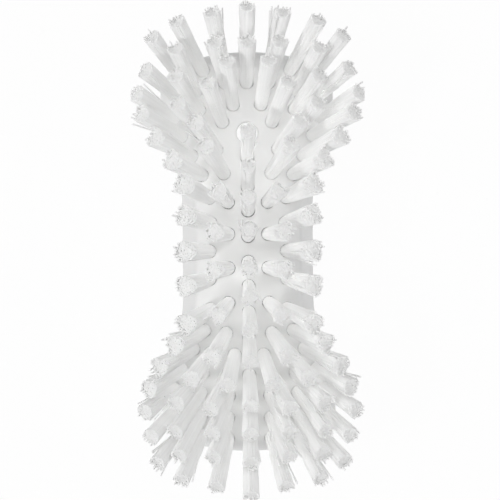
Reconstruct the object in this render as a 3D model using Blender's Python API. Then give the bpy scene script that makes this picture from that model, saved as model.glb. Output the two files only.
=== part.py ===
"""Stiff hand brush: a waisted moulded block with rows of splayed bristle tufts.

The brush lies on its back with the bristles up. Z is up, Y runs along the brush
towards the end with the hanging hole, and X runs across it. The origin is on the
flat of the back, under the middle of the block. All sizes are in metres.

The block is one moulding. Its tufts are set in rows across it. Here each row is
parted into a left, a middle and a right group, and each group is one solid: its
strands, fused to the slice of the block that holds them. The slices lie side by
side in a shallow tray in the block, so that together they make up the deck.
"""

import math

import bmesh
import bpy
import numpy as np
from mathutils import Matrix, Vector

# The block seen from above
block_length = 0.166
end_width = 0.072
waist_width = 0.054
waist_straight_length = 0.036
corner_radius = 0.0155
end_arc_radius = 0.085

# The block seen from the side
block_height = 0.026
grip_height = 0.011
deck_drop_lengthwise = 0.008
deck_drop_crosswise = 0.004
end_shoulder = 0.0024
waist_shoulder = 0.0064
back_rounding = 0.012
back_flat_length = 0.1
back_lift = 0.003

# The hanging hole, measured from the middle of the block
hanging_hole_diameter = 0.0087
hanging_hole_place = 0.049
hanging_hole_wall = 0.002

# The slices that hold the tufts, and the tray that they lie in
slice_gap = 0.0003
least_slice_depth = 0.004
end_rim = 0.0016
waist_rim = 0.0074

# The bristles
bristle_height = 0.042
reach_length = 0.2
reach_width = 0.094
tip_drop_lengthwise = 0.006
tip_drop_crosswise = 0.003
tuft_diameter = 0.0055
root_depth = 0.0025
uneven_tip = 0.0012

# How far every cutter runs past what it cuts
overrun = 0.01

# Strand sizes and places in a tuft, as shares of the tuft's radius
strand_radius_share = 0.345
strand_ring_share = 0.58
tip_ring_share = 0.86
strand_turns_share = (0.125, 0.375, 0.625, 0.875)
strand_trim_share = (0.0, 1.0, 0.4, 0.75)
strand_sides = 3

# Steps along a quarter of the outline: its side, its corner and its end
block_steps = (8, 4, 2)
tray_steps = (7, 3, 1)

# Steps in the other meshes
deck_columns = 5
deck_rows = 13
back_columns = 2
shoulder_steps = 3
back_steps = 3
hanging_hole_sides = 24

# Each row of tufts from the hole end to the other end. A tuft has the place of its
# foot and then of its tip. A foot's place is a share of the block's half width at
# that point and of its half length, and a tip's is a share of the half reach. Every
# tuft that is off the centre line has a twin on the other side.
tuft_rows_shares = (
    (
        (0.0, 0.935, 0.0, 0.97), (0.337, 0.933, 0.296, 0.95),
        (0.575, 0.906, 0.59, 0.918), (0.769, 0.859, 0.802, 0.858),
    ),
    (
        (0.0, 0.844, 0.0, 0.838), (0.26, 0.844, 0.272, 0.835),
        (0.588, 0.804, 0.608, 0.809), (0.781, 0.764, 0.855, 0.728),
    ),
    (
        (0.161, 0.734, 0.175, 0.758), (0.556, 0.709, 0.601, 0.702),
        (0.87, 0.67, 0.935, 0.633),
    ),
    (
        (0.297, 0.647, 0.338, 0.671), (0.585, 0.6, 0.589, 0.59),
        (0.816, 0.578, 0.888, 0.551),
    ),
    (
        (0.0, 0.465, 0.0, 0.479), (0.402, 0.51, 0.435, 0.514),
        (0.745, 0.478, 0.772, 0.458),
    ),
    (
        (0.0, 0.321, 0.0, 0.338), (0.341, 0.391, 0.353, 0.42),
        (0.657, 0.383, 0.63, 0.366),
    ),
    (
        (0.0, 0.204, 0.0, 0.213), (0.305, 0.246, 0.247, 0.239),
        (0.584, 0.269, 0.536, 0.267),
    ),
    (
        (0.0, 0.077, 0.0, 0.087), (0.306, 0.087, 0.243, 0.076),
        (0.574, 0.142, 0.528, 0.144),
    ),
    (
        (0.0, -0.052, 0.0, -0.066), (0.594, 0.002, 0.53, 0.002),
    ),
    (
        (0.0, -0.172, 0.0, -0.181), (0.306, -0.082, 0.244, -0.074),
        (0.597, -0.137, 0.532, -0.135),
    ),
    (
        (0.0, -0.301, 0.0, -0.31), (0.312, -0.256, 0.264, -0.253),
        (0.581, -0.286, 0.529, -0.287),
    ),
    (
        (0.0, -0.431, 0.0, -0.439), (0.323, -0.406, 0.312, -0.419),
        (0.634, -0.393, 0.629, -0.371),
    ),
    (
        (0.188, -0.515, 0.19, -0.532), (0.502, -0.505, 0.495, -0.506),
        (0.738, -0.485, 0.758, -0.457),
    ),
    (
        (0.0, -0.615, 0.0, -0.616), (0.257, -0.617, 0.331, -0.624),
        (0.565, -0.605, 0.62, -0.604), (0.836, -0.587, 0.849, -0.546),
    ),
    (
        (0.0, -0.724, 0.0, -0.729), (0.243, -0.719, 0.318, -0.724),
        (0.567, -0.704, 0.631, -0.714), (0.889, -0.682, 0.892, -0.638),
    ),
    (
        (0.0, -0.834, 0.0, -0.842), (0.251, -0.829, 0.315, -0.82),
        (0.562, -0.816, 0.604, -0.81), (0.862, -0.789, 0.843, -0.739),
    ),
    (
        (0.0, -0.935, 0.0, -0.97), (0.312, -0.933, 0.292, -0.938),
        (0.638, -0.914, 0.584, -0.909), (0.773, -0.869, 0.786, -0.842),
    ),
)

# Points that bend a row's line where it has no tuft, in shares as for the feet
row_bends_shares = {9: (0.306, 0.002), 16: (0.73, -0.774)}

# The row that the hanging hole stands in
hole_row = 4

PLASTIC = ((0.86, 0.86, 0.85), 0.42)
FILAMENT = ((0.8, 0.8, 0.79), 0.5)


def clear_scene():
    """Remove every object of the scene that is open."""
    for thing in list(bpy.data.objects):
        bpy.data.objects.remove(thing, do_unlink=True)


def make_collection(name):
    """Return a new collection in the scene."""
    collection = bpy.data.collections.new(name)
    bpy.context.scene.collection.children.link(collection)
    return collection


def make_material(name, finish):
    """Return a Principled material of one colour and roughness."""
    colour, roughness = finish
    material = bpy.data.materials.new(name)
    material.use_nodes = True
    shader = material.node_tree.nodes["Principled BSDF"]
    shader.inputs["Base Color"].default_value = (*colour, 1.0)
    shader.inputs["Roughness"].default_value = roughness
    shader.inputs["Metallic"].default_value = 0.0
    material.diffuse_color = (*colour, 1.0)
    return material


def add_object(name, mesh, collection):
    """Link a mesh to a collection as a new object at the origin."""
    thing = bpy.data.objects.new(name, mesh)
    collection.objects.link(thing)
    return thing


def add_guide(name, mesh, collection):
    """Add an object that only cuts or joins others."""
    guide = add_object(name, mesh, collection)
    guide.hide_render = True
    guide.display_type = "WIRE"
    return guide


def add_boolean(thing, operation, other):
    """Give an object a Boolean modifier that uses another object."""
    modifier = thing.modifiers.new(f"{operation.lower()}_{other.name}", "BOOLEAN")
    modifier.operation = operation
    modifier.object = other
    return modifier


def finish_object(thing, finish):
    """Give a piece its own material and shade its round faces smooth."""
    thing.data.materials.append(make_material(f"{thing.name}_finish", finish))
    thing.data.shade_smooth()
    thing.data.set_sharp_from_angle(angle=math.radians(30.0))


def prism_mesh(name, outline, bottom, top):
    """Return an upright prism: a flat outline drawn up from bottom to top."""
    shape = bmesh.new()
    corners = [shape.verts.new((x, y, bottom)) for x, y in outline]
    base = shape.faces.new(corners)
    raised = bmesh.ops.extrude_face_region(shape, geom=[base])
    lifted = [item for item in raised["geom"] if isinstance(item, bmesh.types.BMVert)]
    bmesh.ops.translate(shape, verts=lifted, vec=(0.0, 0.0, top - bottom))
    bmesh.ops.recalc_face_normals(shape, faces=shape.faces[:])
    mesh = bpy.data.meshes.new(name)
    shape.to_mesh(mesh)
    shape.free()
    return mesh


def drill_mesh(name):
    """Return an upright cylinder that drills the hanging hole."""
    depth = block_height + 2 * overrun
    shape = bmesh.new()
    bmesh.ops.create_cone(
        shape,
        cap_ends=True,
        segments=hanging_hole_sides,
        radius1=hanging_hole_diameter / 2,
        radius2=hanging_hole_diameter / 2,
        depth=depth,
        matrix=Matrix.Translation((0.0, hanging_hole_place, block_height / 2)),
    )
    mesh = bpy.data.meshes.new(name)
    shape.to_mesh(mesh)
    shape.free()
    return mesh


def corner_centre():
    """Return the centre of a corner arc that meets the side and the end arc smoothly."""
    across = end_width / 2 - corner_radius
    end_centre = block_length / 2 - end_arc_radius
    along = end_centre + math.sqrt((end_arc_radius - corner_radius) ** 2 - across**2)
    return across, along


def waist_share(along):
    """Return 1 at the straight of the waist, falling smoothly to 0 at the wide ends."""
    start = waist_straight_length / 2
    way = np.clip((np.abs(along) - start) / (corner_centre()[1] - start), 0.0, 1.0)
    return 1.0 - way * way * (3.0 - 2.0 * way)


def block_side(steps=block_steps):
    """Return the right side of the block's outline from one end to the other.

    The side runs smoothly from the waist to the widest place, and then an arc
    rounds the corner and a shallow arc closes the end.
    """
    side_steps, corner_steps, end_steps = steps
    across, along = corner_centre()
    end_centre = block_length / 2 - end_arc_radius
    join = math.atan2(along - end_centre, across)
    side = np.linspace(0.0, along, side_steps, endpoint=False)
    widths = end_width / 2 - (end_width - waist_width) / 2 * waist_share(side)
    corner = np.linspace(0.0, join, corner_steps, endpoint=False)
    end = np.linspace(join, math.pi / 2, end_steps + 1)
    quarter_x = np.concatenate([
        widths,
        across + corner_radius * np.cos(corner),
        end_arc_radius * np.cos(end),
    ])
    quarter_y = np.concatenate([
        side,
        along + corner_radius * np.sin(corner),
        end_centre + end_arc_radius * np.sin(end),
    ])
    quarter_x[-1] = 0.0
    half = np.column_stack([quarter_x, quarter_y])
    return np.concatenate([half[:0:-1] * (1.0, -1.0), half])


def inset_side(side, inset):
    """Return a right side moved inwards by an inset that may vary along it."""
    way = np.gradient(side, axis=0)
    outward = np.column_stack([way[:, 1], -way[:, 0]])
    outward[0] = (0.0, -1.0)
    outward[-1] = (0.0, 1.0)
    outward /= np.linalg.norm(outward, axis=1)[:, None]
    return side - outward * np.reshape(inset, (-1, 1))


def whole_outline(side):
    """Return the closed outline that a right side and its mirror image make."""
    return np.concatenate([side, side[-2:0:-1] * (-1.0, 1.0)])


def half_width_at(along):
    """Return the block's half width at a place along it."""
    side = block_side()
    return np.interp(along, side[:, 1], side[:, 0])


def deck_height(across, along):
    """Return the height of the crowned deck."""
    lengthwise = deck_drop_lengthwise * (along / (block_length / 2)) ** 2
    crosswise = deck_drop_crosswise * (across / (end_width / 2)) ** 2
    return block_height - lengthwise - crosswise


def back_height(along):
    """Return the height of the back: flat in the middle and lifting at the ends."""
    start = back_flat_length / 2
    way = np.clip((np.abs(along) - start) / (block_length / 2 - start), 0.0, 1.0)
    return back_lift * way * way


def tip_height(across, along):
    """Return the height of the gently crowned face that the tips lie in."""
    lengthwise = tip_drop_lengthwise * (along / (reach_length / 2)) ** 2
    crosswise = tip_drop_crosswise * (across / (reach_width / 2)) ** 2
    return block_height + bristle_height - lengthwise - crosswise


def block_mesh(name):
    """Return the whole block as a loft of sections from one end to the other.

    A section runs over the deck, down the rounded shoulder to the widest line,
    round under it to the back, and up again on the other side.
    """
    side = block_side()
    shoulder = end_shoulder + (waist_shoulder - end_shoulder) * waist_share(side[:, 1])
    deck_edge = inset_side(side, shoulder)
    back_edge = inset_side(side, back_rounding)
    section = []
    for share in np.linspace(-1.0, 1.0, deck_columns + 1):
        across = deck_edge[:, 0] * share
        section.append((across, deck_edge[:, 1], deck_height(across, deck_edge[:, 1])))
    flank = []
    edge_height = deck_height(deck_edge[:, 0], deck_edge[:, 1])
    for turn in np.linspace(0.0, math.pi / 2, shoulder_steps + 1)[1:]:
        ring = inset_side(side, shoulder * (1.0 - math.sin(turn)))
        height = grip_height + (edge_height - grip_height) * math.cos(turn)
        flank.append((ring[:, 0], ring[:, 1], height))
    floor = back_height(back_edge[:, 1])
    for turn in np.linspace(0.0, math.pi / 2, back_steps + 1)[1:]:
        ring = inset_side(side, back_rounding * (1.0 - math.cos(turn)))
        height = floor + (grip_height - floor) * (1.0 - math.sin(turn))
        flank.append((ring[:, 0], ring[:, 1], height))
    section += flank
    for share in np.linspace(1.0, -1.0, back_columns + 1)[1:-1]:
        section.append((back_edge[:, 0] * share, back_edge[:, 1], floor))
    section += [(-across, along, height) for across, along, height in reversed(flank)]
    points = np.array([np.column_stack(line) for line in section])
    lines, stations = points.shape[:2]
    shape = bmesh.new()
    corners = [[shape.verts.new(point) for point in line] for line in points]
    for line in range(lines):
        here, beside = corners[line], corners[(line + 1) % lines]
        for station in range(stations - 1):
            shape.faces.new((here[station], here[station + 1], beside[station + 1], beside[station]))
    bmesh.ops.remove_doubles(shape, verts=shape.verts[:], dist=slice_gap / 100)
    bmesh.ops.recalc_face_normals(shape, faces=shape.faces[:])
    mesh = bpy.data.meshes.new(name)
    shape.to_mesh(mesh)
    shape.free()
    return mesh


def crowned_slab_mesh(name):
    """Return a slab with the deck's crown on top, a little larger than the deck."""
    shape = bmesh.new()
    bmesh.ops.create_grid(shape, x_segments=deck_columns, y_segments=deck_rows, size=1.0)
    for corner in shape.verts:
        corner.co.x *= end_width / 2
        corner.co.y *= block_length / 2
        corner.co.z = deck_height(corner.co.x, corner.co.y)
    raised = bmesh.ops.extrude_face_region(shape, geom=shape.faces[:])
    for item in raised["geom"]:
        if isinstance(item, bmesh.types.BMVert):
            item.co.z = 0.0
    bmesh.ops.recalc_face_normals(shape, faces=shape.faces[:])
    mesh = bpy.data.meshes.new(name)
    shape.to_mesh(mesh)
    shape.free()
    return mesh


def tray_side(clearance):
    """Return the right side of the tray's outline, smaller by a clearance."""
    side = block_side(tray_steps)
    rim = end_rim + (waist_rim - end_rim) * waist_share(side[:, 1])
    return inset_side(side, rim + clearance)


def tray_floor():
    """Return the height of the tray's floor, under the lowest corner of the deck."""
    return block_height - deck_drop_lengthwise - deck_drop_crosswise - least_slice_depth


def foot_place(across_share, along_share):
    """Return where a foot share lies on the deck."""
    along = along_share * block_length / 2
    return across_share * half_width_at(along), along


def row_line(number):
    """Return a row's line on the right half as two lists, from the middle outwards."""
    feet = [foot_place(tuft[0], tuft[1]) for tuft in tuft_rows_shares[number - 1]]
    if number in row_bends_shares:
        feet.append(foot_place(*row_bends_shares[number]))
    feet.sort()
    across, along = np.array(feet).T
    return across, along


def boss_half_width():
    """Return half the width of the boss that keeps the hanging hole in the block."""
    return hanging_hole_diameter / 2 + hanging_hole_wall


def parting_line(number):
    """Return the line between a row and the next one, right across the block.

    It runs midway between the two rows. At the hanging hole it passes round the
    boss that the hole is drilled in.
    """
    outer, outer_along = row_line(number)
    inner, inner_along = row_line(number + 1)
    across = np.unique(np.concatenate([[0.0], outer, inner]))
    along = (np.interp(across, outer, outer_along) + np.interp(across, inner, inner_along)) / 2
    if hole_row in (number, number + 1):
        boss = boss_half_width()
        edge = hanging_hole_place + (boss if number < hole_row else -boss)
        beyond = across > boss
        across = np.concatenate([[0.0, boss], across[beyond]])
        along = np.concatenate([[edge, edge], along[beyond]])
    across = np.append(across, end_width)
    along = np.append(along, along[-1])
    return np.concatenate([-across[:0:-1], across]), np.concatenate([along[:0:-1], along])


def end_line(direction):
    """Return a straight line past one end of the block."""
    along = direction * block_length
    return np.array([-end_width, end_width]), np.array([along, along])


def offset_line(line, distance):
    """Return a line moved along Y so that it lies a distance from where it was.

    A sloping stretch moves farther, by the slope of the steeper stretch beside
    each point, so that the gap across it is no narrower.
    """
    across, along = line
    slopes = np.abs(np.diff(along) / np.diff(across))
    steepest = np.maximum(np.append(slopes, 0.0), np.insert(slopes, 0, 0.0))
    return across, along + distance * np.hypot(1.0, steepest)


def line_between(line, low, high):
    """Return the points of a line from one place across to another."""
    across, along = line
    inside = across[(across > low) & (across < high)]
    places = np.concatenate([[low], inside, [high]])
    return np.column_stack([places, np.interp(places, across, along)])


def slice_outline(number, low, high):
    """Return the outline of a row's slice between two places across, less its gap."""
    rows = len(tuft_rows_shares)
    upper = end_line(1.0) if number == 1 else parting_line(number - 1)
    lower = end_line(-1.0) if number == rows else parting_line(number)
    upper = offset_line(upper, -slice_gap / 2)
    lower = offset_line(lower, slice_gap / 2)
    top = line_between(upper, low + slice_gap / 2, high - slice_gap / 2)
    bottom = line_between(lower, low + slice_gap / 2, high - slice_gap / 2)
    return np.concatenate([bottom, top[::-1]])


def middle_half_width(number):
    """Return half the width of a row's middle group, or 0 if it has none."""
    if number == hole_row:
        return boss_half_width()
    feet = [foot_place(tuft[0], tuft[1])[0] for tuft in tuft_rows_shares[number - 1]]
    if min(feet) > 0.0:
        return 0.0
    return sorted(feet)[1] / 2


def tuft_ends(tuft, side):
    """Return the foot of a tuft on the deck and the middle of its tip."""
    across, along = foot_place(tuft[0], tuft[1])
    foot = Vector((side * across, along, deck_height(across, along)))
    across = tuft[2] * reach_width / 2
    along = tuft[3] * reach_length / 2
    tip = Vector((side * across, along, tip_height(across, along)))
    return foot, tip


def add_strand(shape, start, end, outward):
    """Add one strand with its edge turned outward from the tuft's middle."""
    way = end - start
    radius = strand_radius_share * tuft_diameter / 2
    along = way.normalized()
    beside = outward.cross(along).normalized()
    outer = along.cross(beside)
    place = Matrix.Translation((start + end) / 2) @ Matrix((beside, outer, along)).transposed().to_4x4()
    bmesh.ops.create_cone(
        shape,
        cap_ends=True,
        segments=strand_sides,
        radius1=radius,
        radius2=radius,
        depth=way.length,
        matrix=place,
    )


def add_tuft(shape, tuft, side):
    """Add the strands of one tuft, set in a ring that opens towards the tip."""
    foot, tip = tuft_ends(tuft, side)
    along = (tip - foot).normalized()
    across = Vector((0.0, 1.0, 0.0)).cross(along).normalized()
    beside = along.cross(across)
    for turn, trim in zip(strand_turns_share, strand_trim_share):
        angle = turn * 2.0 * math.pi
        outward = across * math.cos(angle) + beside * math.sin(angle)
        start = foot - along * root_depth + outward * strand_ring_share * tuft_diameter / 2
        end = tip - along * trim * uneven_tip + outward * tip_ring_share * tuft_diameter / 2
        add_strand(shape, start, end, outward)


def tufts_mesh(name, tufts, side):
    """Return the strands of a group of tufts as one mesh of separate prisms."""
    shape = bmesh.new()
    for tuft in tufts:
        add_tuft(shape, tuft, side)
    bmesh.ops.recalc_face_normals(shape, faces=shape.faces[:])
    mesh = bpy.data.meshes.new(name)
    shape.to_mesh(mesh)
    shape.free()
    return mesh


def make_block(parts, guides):
    """Make the block: the loft, less the tray for the slices and the hanging hole."""
    tray = add_guide(
        "tray_cutter",
        prism_mesh("tray_cutter", whole_outline(tray_side(-slice_gap)), tray_floor(), block_height + overrun),
        guides,
    )
    boss_outline = slice_outline(hole_row, -boss_half_width(), boss_half_width())
    boss = add_guide(
        "hole_boss",
        prism_mesh("hole_boss", boss_outline, tray_floor() - overrun, block_height + 2 * overrun),
        guides,
    )
    add_boolean(tray, "DIFFERENCE", boss)
    drill = add_guide("hanging_hole_cutter", drill_mesh("hanging_hole_cutter"), guides)
    block = add_object("brush_block", block_mesh("brush_block"), parts)
    add_boolean(block, "DIFFERENCE", tray)
    add_boolean(block, "DIFFERENCE", drill)
    finish_object(block, PLASTIC)


def make_slice_stock(guides):
    """Make the top of the block inside the tray, which every slice is cut from."""
    tray = add_guide(
        "slice_bounds",
        prism_mesh(
            "slice_bounds", whole_outline(tray_side(0.0)), tray_floor() + slice_gap, block_height + overrun
        ),
        guides,
    )
    stock = add_guide("slice_stock", crowned_slab_mesh("slice_stock"), guides)
    add_boolean(stock, "INTERSECT", tray)
    return stock


def make_group(name, outline, tufts, side, stock, parts, guides):
    """Make one group: a slice of the deck and the strands fused to it."""
    slab = prism_mesh(name, outline, tray_floor() - overrun, block_height + overrun)
    group = add_object(name, slab, parts)
    strands = add_guide(f"{name}_strands", tufts_mesh(f"{name}_strands", tufts, side), guides)
    add_boolean(group, "INTERSECT", stock)
    add_boolean(group, "UNION", strands)
    finish_object(group, FILAMENT)


def make_row(number, stock, parts, guides):
    """Make the left, middle and right groups of one row."""
    tufts = tuft_rows_shares[number - 1]
    middle = middle_half_width(number)
    centre = [tuft for tuft in tufts if tuft[0] == 0.0]
    outer = [tuft for tuft in tufts if tuft[0] > 0.0]
    right_outline = slice_outline(number, middle, end_width)
    name = f"row_{number:02d}"
    make_group(f"{name}_right", right_outline, outer, 1.0, stock, parts, guides)
    make_group(f"{name}_left", right_outline * (-1.0, 1.0), outer, -1.0, stock, parts, guides)
    if centre:
        middle_outline = slice_outline(number, -middle, middle)
        make_group(f"{name}_middle", middle_outline, centre, 1.0, stock, parts, guides)


def main():
    clear_scene()
    parts = make_collection("stiff_hand_brush")
    guides = make_collection("cutters")
    make_block(parts, guides)
    stock = make_slice_stock(guides)
    for number in range(1, len(tuft_rows_shares) + 1):
        make_row(number, stock, parts, guides)


main()
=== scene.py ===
# %% [markdown]
# # A stiff hand brush
# The real object is one block of white plastic with a waist for the hand, and 98
# tufts of stiff white filament that fan out from its top. Nothing on it moves.
#
# The CAD model is loaded first and stays fixed. It is right in size and place, but
# each tuft in it is only four strands, and the block's top is cut into slices that
# hold them. So this lesson makes one smooth block and every filament again, on the
# same measures, and lets them stand for the CAD parts.

import math

import bpy
import numpy as np
from mathutils import Matrix, Vector
from mathutils.geometry import delaunay_2d_cdt


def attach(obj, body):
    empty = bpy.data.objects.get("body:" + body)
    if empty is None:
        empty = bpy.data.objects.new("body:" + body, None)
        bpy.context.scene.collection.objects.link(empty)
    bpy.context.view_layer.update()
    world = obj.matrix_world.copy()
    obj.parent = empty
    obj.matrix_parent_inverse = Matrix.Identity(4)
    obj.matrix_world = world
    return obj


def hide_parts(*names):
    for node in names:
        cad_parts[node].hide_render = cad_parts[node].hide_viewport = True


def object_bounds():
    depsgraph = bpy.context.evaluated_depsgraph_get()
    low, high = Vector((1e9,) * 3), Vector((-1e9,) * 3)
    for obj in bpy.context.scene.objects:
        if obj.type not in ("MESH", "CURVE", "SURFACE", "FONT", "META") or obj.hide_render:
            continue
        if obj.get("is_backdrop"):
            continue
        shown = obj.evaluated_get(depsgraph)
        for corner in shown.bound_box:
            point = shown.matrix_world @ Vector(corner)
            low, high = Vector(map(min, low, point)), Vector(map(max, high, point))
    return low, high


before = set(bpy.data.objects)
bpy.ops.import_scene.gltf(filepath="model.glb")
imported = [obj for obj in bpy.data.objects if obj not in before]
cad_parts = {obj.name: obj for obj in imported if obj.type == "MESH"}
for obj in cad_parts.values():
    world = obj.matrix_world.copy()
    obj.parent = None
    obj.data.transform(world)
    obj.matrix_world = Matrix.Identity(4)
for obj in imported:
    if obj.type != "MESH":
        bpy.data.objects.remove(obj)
cad_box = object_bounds()
print("CAD parts:", len(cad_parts), "in a box of", cad_box[1] - cad_box[0])

# %% [markdown]
# ## The camera
# The picture is taken from high above, straight down on the bristles. Tips that are
# 42 mm nearer look only 2.5% larger, which puts the camera about 1.7 m away. It
# leans 0.6 degrees to the left and is turned by half a degree. A long lens at that
# distance gives the frame, with no shift.

# %% Make the camera
picture_size = 500
pixels_per_metre = 2480.0
view_distance = 1.69
sensor_size = 0.036
farthest_seen = 20.0
camera_lean = math.radians(0.6)
camera_roll = math.radians(0.5)
aimed_at = Vector((0.0003, 0.0006, 0.065))
millimetres = 1000

camera_data = bpy.data.cameras.new("camera")
camera_data.sensor_width = sensor_size * millimetres
camera_data.lens = pixels_per_metre * view_distance * sensor_size / picture_size * millimetres
camera_data.clip_end = farthest_seen
camera = bpy.data.objects.new("camera", camera_data)
bpy.context.scene.collection.objects.link(camera)
backward = Vector((-math.sin(camera_lean), 0.0, math.cos(camera_lean)))
picture_up = Vector((math.sin(camera_roll), math.cos(camera_roll), 0.0))
picture_right = picture_up.cross(backward).normalized()
picture_up = backward.cross(picture_right)
turned = Matrix((picture_right, picture_up, backward)).transposed()
camera.matrix_world = Matrix.Translation(aimed_at + backward * view_distance) @ turned.to_4x4()
bpy.context.scene.camera = camera
print("lens", round(camera_data.lens, 1), "mm")

# %% [markdown]
# ## Light and floor
# The brush is white on white, so its shape shows only in soft shade. A pale sky all
# round gives most of the light, and it is darker towards the far end, so that the
# wall there turns grey. A lamp overhead stands a little towards the far end and
# lights the cut ends of the tufts there as much as their sides. A strong small lamp
# at the lower left gives the shade its direction, and a weaker one from the right
# keeps that side from going flat. The other five lamps are for the tufts alone and
# for the back of the block, and a later step ties them to those.
#
# The floor is pale and catches a soft shadow. What the camera sees of it is mostly
# plain white and partly lit, so that the shadow stays faint, as in the picture. From
# below the camera looks through it, so that the back of the brush shows too.

# %% Light from the sky
sky_light = 0.49
sky_tilt = (-0.05, 0.0, 0.0)
dark_side = (0.1, 1.0, -0.9)
dark_share = 0.72
light_bounces = 32

scene = bpy.context.scene
scene.view_settings.view_transform = "Standard"
scene.cycles.max_bounces = light_bounces
scene.cycles.diffuse_bounces = light_bounces


def link(tree, start, end):
    """Join an output socket to an input socket."""
    tree.links.new(start, end)


def add_node(tree, kind, **values):
    """Add a node and set its plain properties."""
    node = tree.nodes.new(kind)
    for name, value in values.items():
        setattr(node, name, value)
    return node


def feed(tree, value, socket):
    """Lead a value into an input socket: from an output socket, or a plain one."""
    if isinstance(value, bpy.types.NodeSocket):
        link(tree, value, socket)
    else:
        socket.default_value = value


def calculate(tree, operation, *values, **settings):
    """Return the result of a maths node on sockets or plain numbers."""
    node = add_node(tree, "ShaderNodeMath", operation=operation, **settings)
    for value, socket in zip(values, node.inputs):
        feed(tree, value, socket)
    return node.outputs["Value"]


def part_along(tree, way, direction):
    """Return how much of a way points in a direction: their dot product."""
    node = add_node(tree, "ShaderNodeVectorMath", operation="DOT_PRODUCT")
    link(tree, way, node.inputs[0])
    node.inputs[1].default_value = direction
    return node.outputs["Value"]


def seen_rays(tree):
    """Return a value that is 1 for rays that show the background as it is.

    It is the sum of Is Camera Ray, Is Glossy Ray and Is Transmission Ray.
    """
    rays = add_node(tree, "ShaderNodeLightPath")
    total = rays.outputs["Is Camera Ray"]
    for name in ("Is Glossy Ray", "Is Transmission Ray"):
        total = calculate(tree, "ADD", total, rays.outputs[name], use_clamp=True)
    return total


def make_sky():
    """Return a white sky: an even light plus a tilt, less a dark side.

    Rays that show the background itself see plain white.
    """
    world = bpy.data.worlds.new("studio")
    world.use_nodes = True
    tree = world.node_tree
    background = tree.nodes["Background"]
    background.inputs["Color"].default_value = (1.0, 1.0, 1.0, 1.0)
    way = add_node(tree, "ShaderNodeTexCoord").outputs["Generated"]
    level = calculate(tree, "ADD", part_along(tree, way, sky_tilt), sky_light)
    behind = calculate(tree, "MAXIMUM", part_along(tree, way, dark_side), 0.0)
    shade = calculate(tree, "MULTIPLY_ADD", behind, -dark_share, level)
    strength = add_node(tree, "ShaderNodeMix", data_type="FLOAT")
    link(tree, seen_rays(tree), strength.inputs["Factor"])
    link(tree, shade, strength.inputs["A"])
    strength.inputs["B"].default_value = 1.0
    link(tree, strength.outputs["Result"], background.inputs["Strength"])
    return world


scene.world = make_sky()

# %% Set up the lamps
lamp_target = Vector((0.0, 0.0, 0.03))
lamp_table = (
    # name, place, side of its square, watts
    ("overhead_softbox", (0.0, 0.33, 1.15), 0.5, 2.2),
    ("key_softbox", (-0.65, -0.4, 1.25), 0.24, 5.0),
    ("side_softbox", (1.1, -0.2, 0.9), 0.4, 1.85),
    ("tuft_softbox_left", (-1.0, 0.0, 0.5), 0.5, 0.42),
    ("tuft_softbox_right", (1.0, 0.0, 0.5), 0.5, 0.42),
    ("tuft_softbox_near", (0.0, -1.0, 0.5), 0.5, 0.26),
    ("tuft_softbox_far", (0.0, 1.0, 0.35), 0.5, 1.7),
    ("under_softbox", (0.0, 0.0, -1.2), 0.9, 2.6),
)


def add_softbox(name, place, size, watts):
    """Add a square area lamp that looks at the middle of the brush."""
    data = bpy.data.lights.new(name, "AREA")
    data.shape = "SQUARE"
    data.size = size
    data.energy = watts
    lamp = bpy.data.objects.new(name, data)
    scene.collection.objects.link(lamp)
    lamp.location = place
    lamp.visible_camera = False
    lamp.rotation_mode = "QUATERNION"
    lamp.rotation_quaternion = (lamp_target - Vector(place)).to_track_quat("-Z", "Y")
    return lamp


lamps = {row[0]: add_softbox(*row) for row in lamp_table}

# %% Make the floor
floor_half = 3.0
floor_points = 9
floor_drop = 0.0003
floor_glow_share = 0.96
card_tone = (0.9, 0.9, 0.9, 1.0)


def make_floor():
    """Return a square floor under the brush, as a grid from corner to corner."""
    steps = np.linspace(-floor_half, floor_half, floor_points)
    along, across = np.meshgrid(steps, steps, indexing="ij")
    points = np.column_stack([across.ravel(), along.ravel(), np.full(across.size, -floor_drop)])
    index = np.arange(across.size).reshape(across.shape)
    corners = [index[:-1, :-1], index[:-1, 1:], index[1:, 1:], index[1:, :-1]]
    quads = np.stack(corners, axis=-1)
    mesh = bpy.data.meshes.new("floor")
    mesh.from_pydata(points.tolist(), [], quads.reshape(-1, 4).tolist())
    floor = bpy.data.objects.new("floor", mesh)
    scene.collection.objects.link(floor)
    return floor


def mixed_shaders(tree, share, first, second):
    """Return a shader between two shaders, by a share from 0 to 1."""
    node = add_node(tree, "ShaderNodeMixShader")
    for value, socket in zip((share, first, second), node.inputs):
        link(tree, value, socket)
    return node.outputs["Shader"]


def floor_material():
    """Return pale card: lit as usual for other rays, mostly plain white to the camera.

    From below the camera looks through it, so that the back of the brush shows.
    """
    material = bpy.data.materials.new("pale_card")
    material.use_nodes = True
    tree = material.node_tree
    tree.nodes.clear()
    card = add_node(tree, "ShaderNodeBsdfDiffuse")
    card.inputs["Color"].default_value = card_tone
    glow = add_node(tree, "ShaderNodeEmission")
    seen = calculate(tree, "MULTIPLY", seen_rays(tree), floor_glow_share)
    pale = mixed_shaders(tree, seen, card.outputs["BSDF"], glow.outputs["Emission"])
    rays = add_node(tree, "ShaderNodeLightPath").outputs
    side = add_node(tree, "ShaderNodeNewGeometry").outputs
    below = calculate(tree, "MULTIPLY", rays["Is Camera Ray"], side["Backfacing"])
    clear = add_node(tree, "ShaderNodeBsdfTransparent")
    surface = mixed_shaders(tree, below, pale, clear.outputs["BSDF"])
    output = add_node(tree, "ShaderNodeOutputMaterial")
    link(tree, surface, output.inputs["Surface"])
    return material


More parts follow.
